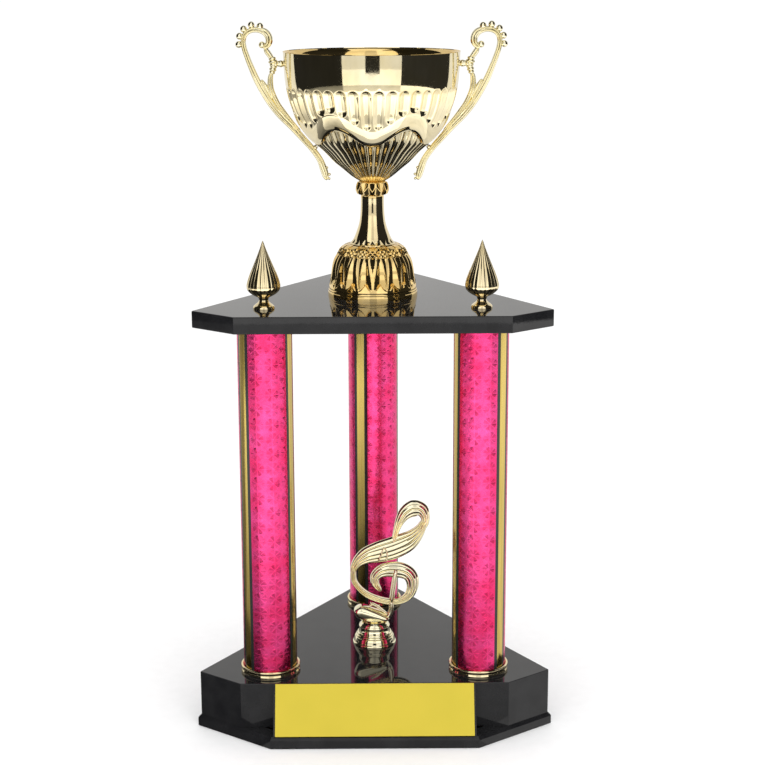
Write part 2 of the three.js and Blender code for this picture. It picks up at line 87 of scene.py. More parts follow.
# Walls that only reflections see: from and to, in degrees from the front towards the right, the
# heights at their foot and top, and how bright they are there.
REFLECTED_WALLS = {
    "wall_front_left_low": (-38, -8, 0, 0.25, 1.4, 1.2),
    "wall_front_left_middle": (-38, -8, 0.25, 0.5, 0.8, 0.8),
    "wall_front_left_high": (-38, -8, 0.5, STUDIO_HEIGHT, 1.3, 1.2),
    "wall_front_low": (-8, 10, 0, 0.2, 1.4, 1.2),
    "wall_front_gap": (-8, 10, 0.2, 0.41, 0.03, 0.02),
    "wall_front_high": (-8, 10, 0.41, STUDIO_HEIGHT, 0.9, 0.6),
    "wall_front_right_low": (10, 38, 0, 0.25, 1.4, 1.2),
    "wall_front_right_middle": (10, 38, 0.25, 0.5, 0.8, 0.8),
    "wall_front_right_high": (10, 38, 0.5, STUDIO_HEIGHT, 1.3, 0.8),
    "wall_right": (38, 119, 0, STUDIO_HEIGHT, 0.03, 0.015),
    "wall_left": (-119, -38, 0, STUDIO_HEIGHT, 0.02, 0.012),
    "wall_behind": (119, 241, 0, STUDIO_HEIGHT, 0.9, 0.6),
}
# Floor sectors in the same terms, by distance and not by height.
REFLECTED_FLOOR = {
    "floor_front_near": (-38, 38, 0, 0.5, 0.35, 0.8),
    "floor_front_middle": (-38, 38, 0.5, 1.35, 1.5, 2.2),
    "floor_front_far": (-38, 38, 1.35, STUDIO_RADIUS, 0.9, 0.7),
    "floor_right": (38, 119, 0, STUDIO_RADIUS, 0.75, 1.5),
    "floor_left_near": (-119, -38, 0, 0.35, 0.04, 0.07),
    "floor_left_middle": (-95, -38, 0.35, 1.3, 0.3, 1.7),
    "floor_left_rear": (-119, -95, 0.35, 1.3, 0.1, 0.4),
    "floor_left_far": (-119, -38, 1.3, STUDIO_RADIUS, 0.4, 0.2),
    "floor_behind": (119, 241, 0, STUDIO_RADIUS, 0.65, 0.9),
}


def add_camera():
    camera = bpy.data.objects.new("camera", bpy.data.cameras.new("camera"))
    bpy.context.scene.collection.objects.link(camera)
    camera.data.sensor_width = 36
    camera.data.lens = CAMERA_LENS
    camera.data.clip_start = 0.05
    camera.data.clip_end = 60
    heading, pitch, roll = (math.radians(a) for a in (CAMERA_HEADING, CAMERA_PITCH, CAMERA_ROLL))
    level_share = math.cos(pitch)
    ahead = Vector((math.sin(heading) * level_share, math.cos(heading) * level_share, -math.sin(pitch)))
    level = ahead.cross(Vector((0, 0, 1))).normalized()
    upright = level.cross(ahead)
    right = level * math.cos(roll) + upright * math.sin(roll)
    up = upright * math.cos(roll) - level * math.sin(roll)
    turned_to = Matrix((right, up, -ahead)).transposed().to_4x4()
    camera.matrix_world = Matrix.Translation(CAMERA_PLACE) @ turned_to
    bpy.context.scene.camera = camera


def add_light(name, heading, elevation, distance, size, power):
    """A softbox that looks at the middle of the trophy; heading 0 is in front, 90 at the right."""
    light = bpy.data.lights.new(name, "AREA")
    light.shape = "RECTANGLE"
    light.size, light.size_y = size
    light.energy = power
    lamp = bpy.data.objects.new(name, light)
    bpy.context.scene.collection.objects.link(lamp)
    a, e = math.radians(heading), math.radians(elevation)
    back = Vector((math.sin(a) * math.cos(e), -math.cos(a) * math.cos(e), math.sin(e)))
    middle = Vector((0, 0, (CAD_BOX[0].z + CAD_BOX[1].z) / 2))
    lamp.location = middle + back * distance
    lamp.rotation_mode = "QUATERNION"
    lamp.rotation_quaternion = back.to_track_quat("Z", "Y")
    lamp.visible_camera = False


def stage_sheet(name, rings, material, **hidden):
    """A sheet of the studio, seen by every kind of ray but the ones given as False."""
    verts, faces = skin(rings, ends="open", wrap=False)
    mesh = bpy.data.meshes.new(name)
    mesh.from_pydata(verts.tolist(), [], faces)
    mesh.materials.append(material)
    mesh.shade_smooth()
    sheet = bpy.data.objects.new(name, mesh)
    bpy.context.scene.collection.objects.link(sheet)
    for ray, seen in hidden.items():
        setattr(sheet, f"visible_{ray}", seen)


def round_points(radius, z, start, stop, count):
    """Points at one height round the upright axis, by degrees from the front towards the right."""
    angle = np.radians(np.linspace(start, stop, count))
    return np.column_stack([radius * np.sin(angle), -radius * np.cos(angle), np.full(count, z)])


def add_stage():
    floor_z = CAD_BOX[0].z - 0.2 * MM
    floor = [round_points(r, floor_z, 0, 360, 73) for r in (0, 0.5, 1, 2, 5, 12, 60)]
    stage_sheet("floor", floor, paper_material(), glossy=False)
    unseen = {"camera": False, "diffuse": False, "shadow": False, "transmission": False}
    for name, (start, stop, low, high, dim, bright) in REFLECTED_WALLS.items():
        rings = [round_points(STUDIO_RADIUS, z, start, stop, 12) for z in np.linspace(low, high, 5)]
        stage_sheet(name, rings, glow_material(name, dim, bright, "Z", (low, high)), **unseen)
    for name, (start, stop, low, high, dim, bright) in REFLECTED_FLOOR.items():
        rings = [round_points(r, floor_z, start, stop, 12) for r in np.linspace(low, high, 5)]
        stage_sheet(name, rings, glow_material(name, dim, bright, "radius", (low, high)), **unseen)
    lid = [round_points(r, STUDIO_HEIGHT, 0, 360, 49) for r in np.linspace(0, STUDIO_RADIUS, 4)]
    glow = glow_material("ceiling", 0.03, 0.015, "radius", (0, STUDIO_RADIUS))
    stage_sheet("ceiling", lid, glow, **unseen)


def light_scene():
    world = bpy.data.worlds.new("studio")
    world.use_nodes = True
    background = world.node_tree.nodes["Background"]
    background.inputs["Color"].default_value = (1, 1, 1, 1)
    background.inputs["Strength"].default_value = 1.1
    bpy.context.scene.world = world
    bpy.context.scene.view_settings.view_transform = "Standard"
    add_light("softbox_left", -24, 16, 2.3, (1.0, 1.3), 5)
    add_light("softbox_right", 24, 16, 2.3, (1.0, 1.3), 8)
    add_light("softbox_top", 10, 72, 2.2, (1.2, 1.2), 5)


# ---------------------------------------------------------------- materials

ROSETTE_WIDTH = 12.8         # the foil's pattern, in millimetres
ROSETTE_HEIGHT = 12.4
ROSETTE_PETALS = 8


class Look:
    """A node material: node() adds one node, and a value that is a socket is linked to its input."""

    def __init__(self, name):
        self.material = bpy.data.materials.new(name)
        self.material.use_nodes = True
        self.tree = self.material.node_tree
        self.shader = self.tree.nodes["Principled BSDF"]
        self.place = self.node("ShaderNodeTexCoord").outputs["Object"]

    def node(self, kind, inputs=None, **settings):
        node = self.tree.nodes.new(kind)
        for key, value in settings.items():
            setattr(node, key, value)
        for key, value in (inputs or {}).items():
            self.put(node.inputs[key], value)
        return node

    def put(self, socket, value):
        if isinstance(value, bpy.types.NodeSocket):
            self.tree.links.new(value, socket)
        else:
            socket.default_value = value

    def set(self, **inputs):
        for key, value in inputs.items():
            self.put(self.shader.inputs[key.replace("_", " ")], value)

    def math(self, operation, a, b=0.0):
        return self.node("ShaderNodeMath", {0: a, 1: b}, operation=operation).outputs[0]

    def noise(self, scale, detail=3.0, roughness=0.55, stretch=(1, 1, 1)):
        place = self.place
        if stretch != (1, 1, 1):
            place = self.node("ShaderNodeMapping", {"Vector": place, "Scale": stretch}).outputs[0]
        inputs = {"Vector": place, "Scale": scale, "Detail": detail, "Roughness": roughness}
        return self.node("ShaderNodeTexNoise", inputs).outputs["Fac"]

    def spread(self, value, low, high, start=0.35, stop=0.65):
        inputs = {"Value": value, "From Min": start, "From Max": stop, "To Min": low, "To Max": high}
        return self.node("ShaderNodeMapRange", inputs).outputs["Result"]

    def mix(self, factor, first, second):
        node = self.node("ShaderNodeMix", data_type="RGBA")
        self.put(node.inputs[0], factor)
        self.put(node.inputs[6], (*first, 1) if isinstance(first, tuple) else first)
        self.put(node.inputs[7], (*second, 1) if isinstance(second, tuple) else second)
        return node.outputs[2]

    def bump(self, height, depth):
        inputs = {"Height": height, "Distance": depth, "Strength": 1.0}
        return self.node("ShaderNodeBump", inputs).outputs["Normal"]


def gold_material(name, light, deep, rough, wave):
    """Vacuum-plated gold: a tone that drifts a little, thin haze and the faint waves of moulded plastic."""
    look = Look(name)
    tone = look.spread(look.noise(38, 2), 0, 1)
    haze = look.spread(look.noise(420, 4), rough * 0.7, rough * 1.4)
    waves = look.bump(look.noise(150, 2), wave * MM)
    look.set(Base_Color=look.mix(tone, light, deep), Metallic=1.0, Roughness=haze, Normal=waves)
    return look.material


def lacquer_material():
    """Black gloss lacquer on board: deep, with a soft haze and the faintest orange peel."""
    look = Look("black_gloss_lacquer")
    tone = look.spread(look.noise(60, 4), 0, 1)
    haze = look.spread(look.noise(700, 5), 0.02, 0.06)
    peel = look.bump(look.noise(260, 2), 0.006 * MM)
    look.set(Base_Color=look.mix(tone, (0.008, 0.008, 0.009), (0.014, 0.014, 0.015)),
             Roughness=haze, Normal=peel)
    look.shader.inputs["Specular IOR Level"].default_value = 0.42
    return look.material


def foil_material():
    """Pink prismatic foil: rosettes of eight embossed petals, repeating every second row and column, with
    painted reflection that darkens the petals.
    """
    look = Look("pink_prismatic_foil")
    place = look.node("ShaderNodeUVMap", uv_map="foil").outputs["UV"]
    x, y, _ = look.node("ShaderNodeSeparateXYZ", {0: place}).outputs
    column = look.math("DIVIDE", x, ROSETTE_WIDTH)
    row = look.math("DIVIDE", y, ROSETTE_HEIGHT)
    u = look.math("SUBTRACT", look.math("FRACT", column), 0.5)
    v = look.math("SUBTRACT", look.math("FRACT", row), 0.5)
    out = look.math("SQRT", look.math("ADD", look.math("MULTIPLY", u, u), look.math("MULTIPLY", v, v)))
    turn = look.math("DIVIDE", look.math("ARCTAN2", u, v), 2 * math.pi / ROSETTE_PETALS)
    seed = [look.math("FLOOR", turn)]
    seed += [look.math("FLOORED_MODULO", look.math("FLOOR", part), 2) for part in (row, column)]
    seed = look.node("ShaderNodeCombineXYZ", dict(enumerate(seed))).outputs[0]
    chance = look.node("ShaderNodeTexWhiteNoise", {"Vector": seed}, noise_dimensions="3D").outputs["Value"]
    middle = look.math("ABSOLUTE", look.math("SUBTRACT", look.math("FRACT", turn), 0.5))
    across = look.spread(middle, 1, 0, 0.26, 0.40)
    along = look.math("MULTIPLY", look.spread(out, 0, 1, 0.06, 0.12), look.spread(out, 1, 0, 0.38, 0.46))
    petal = look.math("MULTIPLY", across, along)
    # Painted reflection: each petal's darker tint, at a random strength, stands in for facets that mirror
    # the dark side of the studio. The petal pattern is the foil's own, and its embossing goes into the bump.
    depth = look.math("MULTIPLY", petal, look.spread(chance, 0.04, 0.6, 0, 1))
    tilt = look.math("MULTIPLY", petal, look.math("MULTIPLY", out, look.math("SUBTRACT", chance, 0.4)))
    grain = look.noise(900, 3)
    height = look.math("ADD", tilt, look.math("MULTIPLY", grain, 0.003))
    pink = look.mix(look.spread(look.noise(60, 3), 0, 1), (0.98, 0.045, 0.20), (1.0, 0.085, 0.33))
    look.set(Base_Color=look.mix(depth, pink, (0.34, 0.004, 0.03)), Metallic=1.0,
             Roughness=look.spread(grain, 0.2, 0.34), Normal=look.bump(height, 0.9 * MM))
    look.shader.inputs["Coat Weight"].default_value = 0.1
    look.shader.inputs["Coat Roughness"].default_value = 0.08
    return look.material


def stripe_material(name, first, second, metal, rough):
    """A printed stripe beside the foil, with fine streaks along the column."""
    look = Look(name)
    streak = look.noise(900, 3, stretch=(1, 1, 0.02))
    look.set(Base_Color=look.mix(look.spread(streak, 0, 1), first, second), Metallic=metal,
             Roughness=look.spread(streak, rough * 0.8, rough * 1.3), Normal=look.bump(streak, 0.01 * MM))
    return look.material


def nameplate_material():
    """Yellow lacquered sheet with a very fine grain along its length."""
    look = Look("yellow_nameplate_lacquer")
    grain = look.noise(1500, 3, stretch=(0.02, 1, 1))
    cloud = look.noise(25, 2)
    look.set(Base_Color=look.mix(look.spread(cloud, 0, 1), (0.55, 0.440, 0.031), (0.575, 0.455, 0.034)),
             Metallic=0.0, Roughness=look.spread(grain, 0.36, 0.46), Normal=look.bump(grain, 0.006 * MM))
    look.shader.inputs["Specular IOR Level"].default_value = 0.2
    return look.material


def steel_material():
    look = Look("zinc_plated_steel")
    streak = look.noise(600, 4, stretch=(1, 1, 0.2))
    look.set(Base_Color=look.mix(look.spread(streak, 0, 1), (0.50, 0.52, 0.54), (0.66, 0.66, 0.64)),
             Metallic=1.0, Roughness=look.spread(streak, 0.26, 0.42), Normal=look.bump(streak, 0.02 * MM))
    return look.material


def board_material():
    look = Look("fibreboard")
    fibre = look.noise(700, 6, 0.7)
    patch = look.noise(40, 3)
    tone = look.math("MULTIPLY", look.math("ADD", fibre, patch), 0.5)
    look.set(Base_Color=look.mix(look.spread(tone, 0, 1), (0.20, 0.12, 0.06), (0.36, 0.25, 0.14)),
             Roughness=0.85, Normal=look.bump(fibre, 0.12 * MM))
    return look.material


def iron_material():
    look = Look("cast_iron")
    sand = look.noise(500, 5, 0.65)
    look.set(Base_Color=look.mix(look.spread(sand, 0, 1), (0.05, 0.05, 0.052), (0.10, 0.095, 0.09)),
             Metallic=0.7, Roughness=look.spread(sand, 0.55, 0.8), Normal=look.bump(sand, 0.3 * MM))
    return look.material


def plastic_material():
    look = Look("white_moulded_plastic")
    fine = look.noise(800, 3)
    look.set(Base_Color=look.mix(look.spread(fine, 0, 1), (0.66, 0.65, 0.61), (0.72, 0.71, 0.68)),
             Roughness=look.spread(fine, 0.42, 0.55), Normal=look.bump(fine, 0.02 * MM))
    return look.material


def paper_material():
    look = Look("studio_paper")
    fibre = look.noise(90, 4)
    look.set(Base_Color=look.mix(look.spread(fibre, 0, 1), (0.93, 0.93, 0.93), (0.95, 0.95, 0.95)),
             Roughness=0.9)
    look.shader.inputs["Specular IOR Level"].default_value = 0.0
    return look.material


def glow_material(name, start, stop, along, reach):
    """A studio panel whose glow runs from start to stop over its reach in height or in radius."""
    look = Look(f"glow_{name}")
    x, y, far = look.node("ShaderNodeSeparateXYZ", {0: look.place}).outputs
    if along == "radius":
        squares = look.math("ADD", look.math("MULTIPLY", x, x), look.math("MULTIPLY", y, y))
        far = look.math("SQRT", squares)
    cloud = look.math("MULTIPLY", look.spread(look.noise(3, 2), -0.06, 0.06), max(start, stop))
    strength = look.math("ADD", look.spread(far, start, stop, *reach), cloud)
    look.set(Base_Color=(0, 0, 0, 1), Roughness=1.0, Emission_Color=(1.0, 0.985, 0.96, 1),
             Emission_Strength=strength)
    look.shader.inputs["Specular IOR Level"].default_value = 0.0
    return look.material


# ---------------------------------------------------------------- mesh helpers

def smooth_line(points, count):
    """count rows on a smooth curve through the given rows, evenly spaced in their first two columns."""
    p = np.asarray(points, float)
    chord = np.linalg.norm(np.diff(p[:, :2], axis=0), axis=1)
    knots = np.concatenate([[0], np.cumsum(np.sqrt(chord))])
    step = np.diff(knots)[:, None]
    slope = np.diff(p, axis=0) / step
    inner = (slope[1:] * step[:-1] + slope[:-1] * step[1:]) / (step[1:] + step[:-1])
    tangent = np.vstack([slope[:1], inner, slope[-1:]])
    at = np.linspace(0, knots[-1], 24 * len(p))
    k = np.clip(np.searchsorted(knots, at, "right") - 1, 0, len(p) - 2)
    h = step[k]
    t = (at[:, None] - knots[k][:, None]) / h
    curve = p[k] * (2 * t**3 - 3 * t**2 + 1) + p[k + 1] * (3 * t**2 - 2 * t**3)
    curve += h * (tangent[k] * (t**3 - 2 * t**2 + t) + tangent[k + 1] * (t**3 - t**2))
    travel = np.linalg.norm(np.diff(curve[:, :2], axis=0), axis=1)
    length = np.concatenate([[0], np.cumsum(travel)])
    even = np.linspace(0, length[-1], count)
    return np.column_stack([np.interp(even, length, column) for column in curve.T])


def skin(rings, ends="cap", wrap=True):
    """Vertices and faces through rings of equal count. Ends are capped, joined in a loop or left open."""
    rings = np.asarray(rings, float)
    levels, count = rings.shape[:2]
    a = np.arange(count if wrap else count - 1)
    b = (a + 1) % count
    faces = []
    for level in range(levels if ends == "loop" else levels - 1):
        low = level * count
        high = (level + 1) % levels * count
        faces += np.column_stack([low + a, low + b, high + b, high + a]).tolist()
    if ends == "cap":
        faces.append(list(range(count)))
        faces.append(list(range((levels - 1) * count, levels * count)))
    return rings.reshape(-1, 3), faces


def azimuth(columns):
    """Even angles round an upright axis, from the front towards the right."""
    return np.linspace(0, 2 * np.pi, columns, endpoint=False)


def rings_of(radius, height, columns, datum):
    """Rings round an upright axis; radius and height are rows by columns, or one column of rows."""
    angle = azimuth(columns)
    radius, height = (np.broadcast_to(v, (len(v), columns)) for v in (radius, height))
    x, y = radius * np.sin(angle), -radius * np.cos(angle)
    return np.stack([x, y, height], axis=-1) * MM + np.array(datum)


def turned(profile, columns, datum, ends="cap"):
    profile = np.asarray(profile, float)
    return skin(rings_of(profile[:, :1], profile[:, 1:2], columns, datum), ends)


def mesh_of(name, *skins):
    """One welded mesh with its faces pointing out, from closed skins that don't cross."""
    verts, faces, count = [], [], 0
    for points, polygons in skins:
        verts.append(points)
        faces += [[i + count for i in polygon] for polygon in polygons]
        count += len(points)
    mesh = bpy.data.meshes.new(name)
    mesh.from_pydata(np.concatenate(verts).tolist(), [], faces)
    bm = bmesh.new()
    bm.from_mesh(mesh)
    bmesh.ops.remove_doubles(bm, verts=bm.verts, dist=0.001 * MM)
    bmesh.ops.recalc_face_normals(bm, faces=bm.faces)
    if bm.calc_volume(signed=True) < 0:
        bmesh.ops.reverse_faces(bm, faces=bm.faces)
    bm.to_mesh(mesh)
    bm.free()
    return mesh


def link(name, mesh):
    piece = bpy.data.objects.new(name, mesh)
    bpy.context.scene.collection.objects.link(piece)
    return piece


def united(name, skins):
    """One mesh from closed skins that run into each other, with nothing left inside."""
    whole, *tools = [link(f"{name}_part_{i}", mesh_of(f"{name}_part", s)) for i, s in enumerate(skins)]
    for tool in tools:
        join = whole.modifiers.new("join", "BOOLEAN")
        join.operation = "UNION"
        join.solver = "MANIFOLD"
        join.object = tool
    graph = bpy.context.evaluated_depsgraph_get()
    mesh = bpy.data.meshes.new_from_object(whole.evaluated_get(graph))
    mesh.name = name
    mesh.materials.clear()
    for part in (whole, *tools):
        bpy.data.objects.remove(part)
    return mesh


def add_piece(name, mesh, materials, nodes, crease=40, flats=False):
    """Puts a finished mesh in the scene in place of its CAD nodes."""
    for material in materials if isinstance(materials, (list, tuple)) else [materials]:
        mesh.materials.append(material)
    mesh.shade_smooth()
    mesh.set_sharp_from_angle(angle=math.radians(crease))
    piece = link(name, mesh)
    if flats:
        weighted = piece.modifiers.new("flat_faces", "WEIGHTED_NORMAL")
        weighted.keep_sharp = True
        weighted.weight = 100
    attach(piece, "root")
    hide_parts(*nodes)
    return piece


# ---------------------------------------------------------------- black boards

CORNER_STEPS = 5
BOX_WALL = 3


def hull_of(node):
    """The convex outline of a node seen from above, in millimetres, anticlockwise."""
    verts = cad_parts[node].data.vertices
    points = sorted({(round(v.co.x / MM, 3), round(v.co.y / MM, 3)) for v in verts})

    def half(path):
        chain = []
        for p in path:
            while len(chain) > 1 and turn(chain[-2], chain[-1], p) <= 0.5:
                chain.pop()
            chain.append(p)
        return chain[:-1]

    def turn(a, b, c):
        return (b[0] - a[0]) * (c[1] - a[1]) - (b[1] - a[1]) * (c[0] - a[0])

    return np.array(half(points) + half(points[::-1]))


def inset(outline, step):
    """Each side of an anticlockwise convex outline moved inwards."""
    along = np.roll(outline, -1, axis=0) - outline
    along /= np.linalg.norm(along, axis=1)[:, None]
    start = outline + step * np.column_stack([-along[:, 1], along[:, 0]])
    last_start, last_along = np.roll(start, 1, axis=0), np.roll(along, 1, axis=0)
    gap = start - last_start
    cross = last_along[:, 0] * along[:, 1] - last_along[:, 1] * along[:, 0]
    travel = (gap[:, 0] * along[:, 1] - gap[:, 1] * along[:, 0]) / cross
    return last_start + last_along * travel[:, None]


def rounded(outline, radius):
    """The outline with an arc at each corner."""
    along = np.roll(outline, -1, axis=0) - outline
    facing = np.arctan2(along[:, 1], along[:, 0]) - np.pi / 2
    centres = inset(outline, radius)
    points = []
    for i, centre in enumerate(centres):
        start = facing[i - 1]
        sweep = (facing[i] - start) % (2 * np.pi)
        angles = start + sweep * np.linspace(0, 1, CORNER_STEPS)
        points += [centre + radius * np.array([np.cos(a), np.sin(a)]) for a in angles]
    return np.array(points)


def edge_arc(radius, z, upward, steps=4):
    """[inset, height] rows of a quarter round that ends in a flat face at height z."""
    angles = np.linspace(0, np.pi / 2, steps)
    side = -1 if upward else 1
    rows = [(radius * (1 - math.cos(a)), z + side * radius * (1 - math.sin(a))) for a in angles]
    return rows if upward else rows[::-1]


def board(outline, levels, corner, ends):
    """A loft through [inset, height] levels of one outline with rounded corners."""
    rings = []
    for step, height in levels:
        ring = rounded(inset(outline, step), corner)
        rings.append(np.column_stack([ring, np.full(len(ring), height)]) * MM)
    return skin(rings, ends)


def bevelled_copy(node, width, segments=3):
    """A plain block's CAD mesh with its edges rounded."""
    bm = bmesh.new()
    bm.from_mesh(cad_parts[node].data)
    bmesh.ops.remove_doubles(bm, verts=bm.verts, dist=0.01 * MM)
    bmesh.ops.dissolve_limit(bm, angle_limit=math.radians(1), verts=bm.verts, edges=bm.edges)
    sharp = [e for e in bm.edges if e.calc_face_angle(0) > math.radians(20)]
    bmesh.ops.bevel(bm, geom=sharp, offset=width * MM, segments=segments, profile=0.5, affect="EDGES")
    mesh = bpy.data.meshes.new(node)
    bm.to_mesh(mesh)
    bm.free()
    return mesh


PLINTH_SHOULDER = 3.25       # how far below its top the moulding starts to curve in
PLINTH_LIP = 1.75            # how far it comes in
PLINTH_RAIL = 14             # width of the frame


def heights_of(node):
    """The heights of a node's foot and top, in millimetres."""
    return (corner.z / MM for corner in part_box(node))


def build_boards(black, yellow):
    low, high = heights_of("base_plinth")
    curve = [(0, PLINTH_SHOULDER), (0.25, 2.4), (0.9, 1.35), (1.5, 0.8)]
    ogee = smooth_line([(step, high - below) for step, below in curve], 8)
    plinth = [
        (PLINTH_RAIL, low), *edge_arc(0.4, low, upward=False), *ogee, (PLINTH_LIP - 0.1, high - 0.3),
        (PLINTH_LIP + 0.3, high), (PLINTH_RAIL, high),
    ]
    low, high = heights_of("base_box")
    box = [(BOX_WALL, high - BOX_WALL), (BOX_WALL, low), (0, low), *edge_arc(0.6, high, upward=True)]
    low, high = heights_of("top_plate")
    plate = [*edge_arc(0.8, low, upward=False), *edge_arc(0.8, high, upward=True)]
    for name, node, levels, corner, ends in (
        ("base_plinth_moulding", "base_plinth", plinth, 1.2, "loop"),
        ("base_box_shell", "base_box", box, 1.0, "cap"),
        ("top_plate_board", "top_plate", plate, 1.0, "cap"),
    ):
        mesh = mesh_of(name, board(hull_of(node), levels, corner, ends))
        add_piece(name, mesh, black, [node], 30, flats=True)
    for name, node, width, material, slot in (
        ("nameplate_wedge_block", "nameplate_wedge", 0.35, black, "black_lacquer"),
        ("nameplate_sheet", "nameplate", 0.3, yellow, "nameplate"),
    ):
        add_piece(name, bevelled_copy(node, width), material, [node], 30, flats=True)


# ---------------------------------------------------------------- columns, rings and finials

STRIPE_BLACK = 3.0           # widths round the column
STRIPE_GOLD = 7.6
STRIPE_CENTRES = {"left": -52, "right": -70, "back": -31}     # degrees; the others are a third of a turn on
STRIPE_SUNK = 0.08
COLUMN_STEP = 3              # degrees between the foil's own facets
COLUMN_WALL = 2.5
FOIL, BLACK, GOLD = 0, 1, 2  # material slots of a column


def column_angles(radius, centre):
    """Ends of the column's faces round it, in degrees, each with the finish of the face that follows."""
    degree = 180 / (math.pi * radius)
    gold, edge = STRIPE_GOLD / 2 * degree, (STRIPE_GOLD / 2 + STRIPE_BLACK) * degree
    marks = []
    for turn in (0, 120, 240):
        middle = centre + turn
        spans = ((-edge, -gold, BLACK), (-gold, gold, GOLD), (gold, edge, BLACK), (edge, 120 - edge, FOIL))
        for start, stop, finish in spans:
            steps = max(2, round((stop - start) / COLUMN_STEP))
            marks += [(middle + a, finish) for a in np.linspace(start, stop, steps, endpoint=False)]
    return marks


def build_column(side, finishes):
    low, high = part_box(f"column_{side}")
    radius = (high.x - low.x) / 2 / MM
    length = (high.z - low.z) / MM
    marks = column_angles(radius, STRIPE_CENTRES[side])
    points, kinds = [], []
    for i, (angle, finish) in enumerate(marks):
        before = marks[i - 1][1]
        if before != finish:
            points.append((angle, before))
            kinds.append(BLACK)
        points.append((angle, finish))
        kinds.append(finish)
    angle = np.radians([p[0] for p in points])
    out = radius - STRIPE_SUNK * np.array([p[1] == BLACK for p in points])
    inner = np.full(len(points), radius - COLUMN_WALL)
    rings = []
    rows = np.linspace(0, length, 9)
    for ring_radius, heights in ((out, rows), (inner, rows[::-1])):
        for z in heights:
            across, ahead = ring_radius * np.sin(angle), -ring_radius * np.cos(angle)
            ring = np.column_stack([across, ahead, np.full(len(angle), z)])
            rings.append(ring * MM + np.array(axis_of(f"column_{side}")))
    verts, faces = skin(rings, ends="loop")
    mesh = bpy.data.meshes.new(f"column_{side}")
    mesh.from_pydata(verts.tolist(), [], faces)
    uv = mesh.uv_layers.new(name="foil")
    count = len(points)
    arc = np.degrees(angle) * math.pi * radius / 180
    for polygon in mesh.polygons:
        level, place = divmod(polygon.index, count)
        polygon.material_index = kinds[place] if level < len(rows) - 1 else FOIL
        for k, loop in enumerate(polygon.loop_indices):
            at = place + (k in (1, 2))
            u = arc[at] if at < count else arc[0] + 2 * math.pi * radius
            v = verts[mesh.loops[loop].vertex_index][2] / MM
            uv.data[loop].uv = (u, v)
    bm = bmesh.new()
    bm.from_mesh(mesh)
    bmesh.ops.recalc_face_normals(bm, faces=bm.faces)
    bm.to_mesh(mesh)
    bm.free()
    add_piece(f"column_{side}_foiled", mesh, finishes, [f"column_{side}"], 30)


RING_LIP = [(25.0, 3.2), (25.0, 4.0), (24.7, 4.7), (24.1, 5.0), (23.4, 4.9), (22.95, 4.5)]


def build_ring(side, gold):
    node = f"column_ring_{side}"
    foot = smooth_line([(24.75, 0), (24.55, 0.5), (24.2, 1.4), (24.25, 2.2), (24.6, 2.8)], 10)
    lip = smooth_line(RING_LIP, 14)
    profile = [(3.3, 0), *foot, *lip, (22.8, 1.25), (3.3, 1.25)]
    mesh = mesh_of(node, turned(profile, 128, axis_of(node), ends="loop"))
    add_piece(f"{node}_plated", mesh, gold, [node], 35)


FINIAL_FLUTES = 18
FINIAL_FOOT = [
    (8.75, 0), (8.75, 1.0), (8.4, 2.0), (7.2, 3.2), (5.4, 4.6), (4.1, 6.0), (3.75, 7.2), (4.3, 8.8),
]
FINIAL_DROP = [
    (4.4, 9.2), (7.4, 10.6), (11.0, 13.0), (13.2, 15.6), (13.75, 18.4), (13.3, 21.5), (11.0, 28.4),
    (8.5, 34.2), (6.3, 39.4), (4.2, 44.5), (2.4, 49), (0.9, 53.4), (0, 55.4),
]
FINIAL_DEPTH = 0.42


def build_finial(side, gold):
    node = f"finial_{side}"
    columns = FINIAL_FLUTES * 10
    foot = smooth_line(FINIAL_FOOT, 28)
    drop = smooth_line(FINIAL_DROP, 70)
    profile = np.vstack([[(0, 0)], foot, drop])
    height = profile[:, 1:2]
    fade = np.clip((height - 11) / 4, 0, 1) * np.clip(profile[:, :1] / 8, 0, 1)
    turn = azimuth(columns) * FINIAL_FLUTES / 2
    flute = np.abs(np.cos(turn))[None, :] ** 0.8
    radius = profile[:, :1] - FINIAL_DEPTH * fade * (1 - flute)
    mesh = mesh_of(node, skin(rings_of(radius, height, columns, axis_of(node))))
    add_piece(f"{node}_fluted", mesh, gold, [node], 50)


# ---------------------------------------------------------------- cup

CUP = axis_of("cup_bowl", PLATE_TOP)
CUP_WALL = 1.5
STUD_HOLE = 3.3
BOWL = [
    (10.87, 95.01), (17.3, 98.96), (24.71, 104.89), (32.12, 110.82), (40.77, 119.47), (51.15, 128.86),
    (56.33, 137.26), (61.28, 146.15), (65.23, 153.81), (68.44, 163.2), (70.91, 175.06), (72.15, 188.9),
    (72.64, 201.25),
]
BOWL_COLUMNS = 672
BOWL_FLUTES = 42
FLUTE_TURN = -3.9            # degrees from the front to the middle of the first flute
FLUTE_TOP = 173.08
FLUTE_DEPTH = 2.1
FLUTE_HALF = 0.455           # of the pitch
FLUTE_END = 5.0
FLUTE_MARGIN = 0.6           # smooth metal above and below the flutes
SWAGS = 6
SWAG_TOP = (147.49, 7.1)     # middle height and rise of the waves above and below the swag
SWAG_BOTTOM = (133.95, 6.4)
SWAG_PUFF = 1.5
SWAG_EDGE = (1.2, 0.6)       # below and above the swag's lower edge, where its step falls
GADROONS = 48
GADROON_TURN = 5.6
GADROON_DEPTH = 1.75
GADROON_RECESS = 0.8


def smooth_step(t):
    t = np.clip(t, 0, 1)
    return t * t * (3 - 2 * t)


def across_flutes(angle, count, turn=0.0):
    """Where each angle lies in its flute, from -0.5 to 0.5, and the angle of that flute's middle."""
    place = (angle - math.radians(turn)) * count / (2 * math.pi)
    middle = np.round(place)
    return place - middle, middle * 2 * math.pi / count + math.radians(turn)


